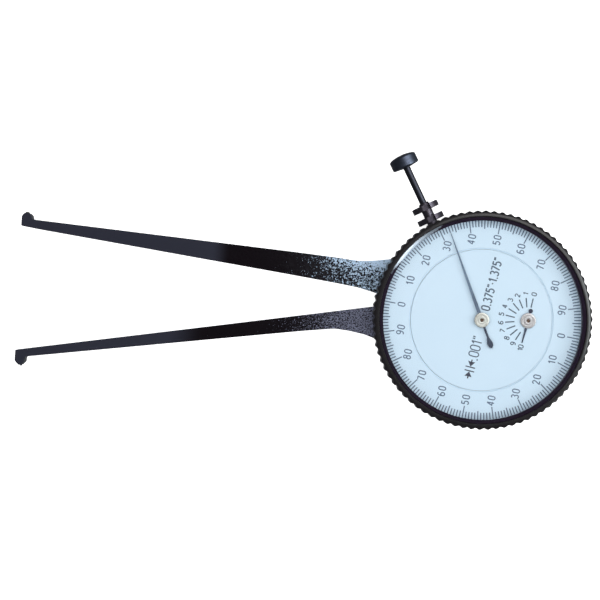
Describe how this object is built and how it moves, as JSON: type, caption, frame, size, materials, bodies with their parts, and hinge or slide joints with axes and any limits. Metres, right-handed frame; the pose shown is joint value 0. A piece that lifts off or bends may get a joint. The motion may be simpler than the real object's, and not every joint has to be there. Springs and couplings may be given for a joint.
{
  "type": "inside dial caliper",
  "caption": "Inside dial caliper with a fixed and a pivoting leg, a round case with a turning knurled bezel, a two-hand dial and a plunger that draws the legs together.",
  "frame": {"origin": "dial axis on the flat outer face of the back cover", "axes": "+Z out of the dial towards the viewer, -X along the legs to their contacts, +Y on the side of the fixed leg"},
  "size_m": [0.1317, 0.0626, 0.0167],
  "materials": {
    "case_paint": "black stove enamel over a cast case, wrinkled at the leg roots",
    "leg_paint": "black stove enamel over forged steel",
    "cover_paint": "satin black enamel",
    "bezel_paint": "satin black over a knurled ring",
    "spacer_black": "moulded, matt",
    "black_screw": "blackened, slotted",
    "black_steel": "blackened, turned",
    "contact_carbide": "ground hard tip",
    "bright_steel": "turned, bright",
    "spring_steel": "tempered blue-grey",
    "movement_brass": "turned and grained",
    "hand_paint": "dark blue-grey lacquer",
    "hub_steel": "turned, polished",
    "dial_face": "pale blue printed dial",
    "crystal": "clear, polished"
  },
  "bodies": {
    "frame": {"body_frame": "case_paint", "fixed_contact": "contact_carbide", "back_cover": "cover_paint", "back_cover_screw_1": "black_screw", "back_cover_screw_2": "black_screw", "back_cover_screw_3": "black_screw", "back_cover_screw_4": "black_screw", "leg_pivot_pin": "bright_steel", "leg_open_stop": "bright_steel", "leg_close_stop": "bright_steel", "frame_spring_post": "bright_steel", "movement_plate": "movement_brass", "plate_pillar_1": "movement_brass", "plate_pillar_2": "movement_brass", "plate_pillar_3": "movement_brass", "plate_screw_1": "bright_steel", "plate_screw_2": "bright_steel", "plate_screw_3": "bright_steel", "centre_bush_rear": "movement_brass", "centre_bush_front": "movement_brass", "counter_bush_rear": "movement_brass", "counter_bush_front": "movement_brass", "hairspring_bush_rear": "movement_brass", "hairspring_bush_front": "movement_brass", "hairspring_stud": "movement_brass", "hairspring": "spring_steel", "dial_disc": "dial_face", "bezel_snap_ring": "spring_steel", "plunger_guide": "black_steel", "plunger_lock_nut": "black_steel"},
    "leg": {"moving_leg": "leg_paint", "moving_contact": "contact_carbide", "pivot_bush": "movement_brass", "sector_gear": "bright_steel", "sector_rivet_1": "bright_steel", "sector_rivet_2": "bright_steel", "push_pin": "bright_steel", "leg_spring_post": "bright_steel", "leg_spring": "spring_steel"},
    "counter_arbor": {"counter_pinion": "bright_steel", "counter_wheel": "movement_brass", "small_hand": "hand_paint", "small_hand_hub": "hub_steel"},
    "centre_arbor": {"centre_pinion": "movement_brass", "main_hand": "hand_paint", "main_hand_hub": "hub_steel"},
    "play_arbor": {"hairspring_arbor": "bright_steel", "hairspring_wheel": "movement_brass"},
    "bezel": {"bezel_ring": "bezel_paint", "crystal": "crystal", "crystal_spacer": "spacer_black", "scale_ring": "dial_face"},
    "plunger": {"plunger_stem": "black_steel", "plunger_clip": "spring_steel", "plunger_knob": "black_steel"}
  },
  "joints": [
    {"name": "leg_pivot", "type": "hinge", "parent": "frame", "child": "leg", "pos_m": [-0.017, 0.0009, 0.004], "axis": [0, 0, 1], "range_deg": [-16.9, 0], "stiffness_Nm_per_rad": 0.06, "springref_deg": 34.38},
    {"name": "counter_spin", "type": "hinge", "parent": "frame", "child": "counter_arbor", "pos_m": [0.01059, 0.00056, 0.0088], "axis": [0, 0, 1], "range_deg": [-188.72, 0]},
    {"name": "centre_spin", "type": "hinge", "parent": "frame", "child": "centre_arbor", "pos_m": [0, 0, 0.0088], "axis": [0, 0, 1], "range_deg": [0, 1887.2]},
    {"name": "play_spin", "type": "hinge", "parent": "frame", "child": "play_arbor", "pos_m": [-0.00453, -0.00165, 0.0088], "axis": [0, 0, 1], "range_deg": [-471.8, 0]},
    {"name": "plunger_slide", "type": "slide", "parent": "frame", "child": "plunger", "axis": [0.4848, -0.8746, 0], "range_m": [0, 0.00426]},
    {"name": "bezel_turn", "type": "hinge", "parent": "frame", "child": "bezel", "pos_m": [0, 0, 0.012], "axis": [0, 0, 1], "continuous": true}
  ],
  "couplings": [
    {"joint": "counter_spin", "follows": "leg_pivot", "ratio": 11.167},
    {"joint": "centre_spin", "follows": "leg_pivot", "ratio": -111.67},
    {"joint": "play_spin", "follows": "leg_pivot", "ratio": 27.917},
    {"joint": "plunger_slide", "follows": "leg_pivot", "m_per_rad": -0.014432}
  ]
}
